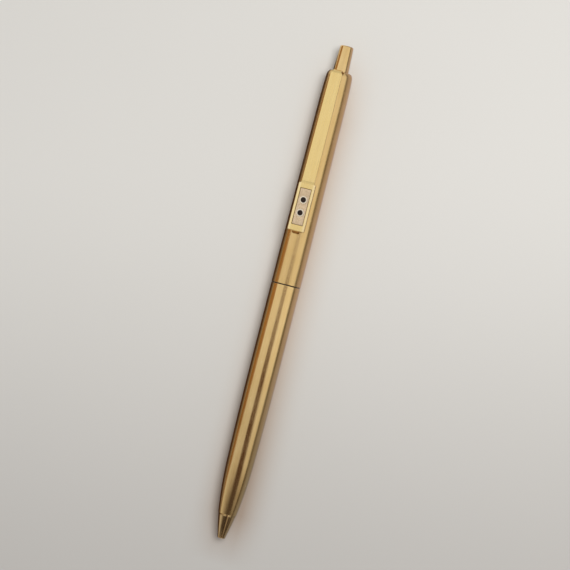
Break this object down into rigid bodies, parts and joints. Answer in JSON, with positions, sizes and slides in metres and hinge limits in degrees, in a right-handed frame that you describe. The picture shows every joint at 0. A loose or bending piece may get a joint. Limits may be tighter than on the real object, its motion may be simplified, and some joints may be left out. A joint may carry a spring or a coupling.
{
  "type": "retractable ballpoint pen",
  "caption": "Slim metal ballpoint pen with a push button that clicks the writing point in and out, a spring clip with an inlaid plate, and a screwed barrel and cap.",
  "frame": {"origin": "on the pen's axis, at the seam between barrel and cap", "axes": "+X along the pen's axis towards the push button, -X towards the writing point, +Z out through the clip, +Y across the clip"},
  "size_m": [0.1329, 0.0078, 0.0089],
  "materials": {
    "gold_satin": "gold-coloured plate, fine satin along the axis",
    "gold_polished": "gold-coloured plate, polished",
    "clip_gold": "gold-coloured plate, bright satin",
    "inlay_silver": "brushed, warm silver",
    "stud_silver": "polished silver rim",
    "enamel_black": "glossy enamel fill",
    "raw_brass": "turned, unplated",
    "spring_steel": "drawn wire",
    "refill_steel": "drawn tube",
    "point_nickel": "turned nickel silver",
    "ball_carbide": "polished carbide",
    "nylon_white": "moulded nylon",
    "seal_black": "thin black ring",
    "plug_black": "moulded",
    "ink_blue": "paste ink",
    "grease_clear": "translucent grease"
  },
  "bodies": {
    "barrel": {"barrel_shell": "gold_satin", "nose_cone": "gold_polished", "barrel_coupling": "raw_brass", "return_spring": "spring_steel"},
    "seam": {"seam_ring": "seal_black"},
    "cap": {"cap_shell": "gold_satin", "cap_coupling": "raw_brass", "cam_guide": "nylon_white", "top_bush": "plug_black"},
    "clip": {"clip": "clip_gold", "clip_inlay": "inlay_silver", "stud_rims": "stud_silver", "stud_enamel": "enamel_black"},
    "button": {"push_button": "gold_satin", "plunger": "nylon_white"},
    "cam": {"index_cam": "point_nickel"},
    "refill": {"refill_nozzle": "raw_brass", "refill_tube": "refill_steel", "refill_tip": "point_nickel", "ink_column": "ink_blue", "grease_follower": "grease_clear", "refill_plug": "plug_black"},
    "ball": {"writing_ball": "ball_carbide"}
  },
  "joints": [
    {"name": "cap_lift", "type": "slide", "parent": "barrel", "child": "seam", "axis": [1, 0, 0], "range_m": [0, 0.0045]},
    {"name": "cap_turn", "type": "hinge", "parent": "seam", "child": "cap", "pos_m": [0, 0, 0], "axis": [1, 0, 0], "range_deg": [0, 2160]},
    {"name": "button_press", "type": "slide", "parent": "cap", "child": "button", "axis": [-1, 0, 0], "range_m": [0, 0.0062], "stiffness_N_per_m": 200, "springref_m": -0.005},
    {"name": "cam_index", "type": "hinge", "parent": "button", "child": "cam", "pos_m": [0.0267, 0, 0], "axis": [1, 0, 0], "range_deg": [0, 22.5]},
    {"name": "refill_advance", "type": "slide", "parent": "cap", "child": "refill", "axis": [-1, 0, 0], "range_m": [0, 0.0062], "deforming": ["return_spring"]},
    {"name": "clip_flex", "type": "hinge", "parent": "cap", "child": "clip", "pos_m": [0.0572, 0, 0.0033], "axis": [0, 1, 0], "range_deg": [0, 2.5], "stiffness_Nm_per_rad": 0.9},
    {"name": "ball_roll", "type": "hinge", "parent": "refill", "child": "ball", "pos_m": [-0.0646, 0, 0], "axis": [0, 1, 0], "continuous": true}
  ],
  "couplings": [
    {"joint": "cap_turn", "follows": "cap_lift", "rad_per_m": 8377.6},
    {"joint": "refill_advance", "follows": "button_press", "ratio": 1},
    {"joint": "cam_index", "follows": "button_press", "rad_per_m": 63.339}
  ]
}
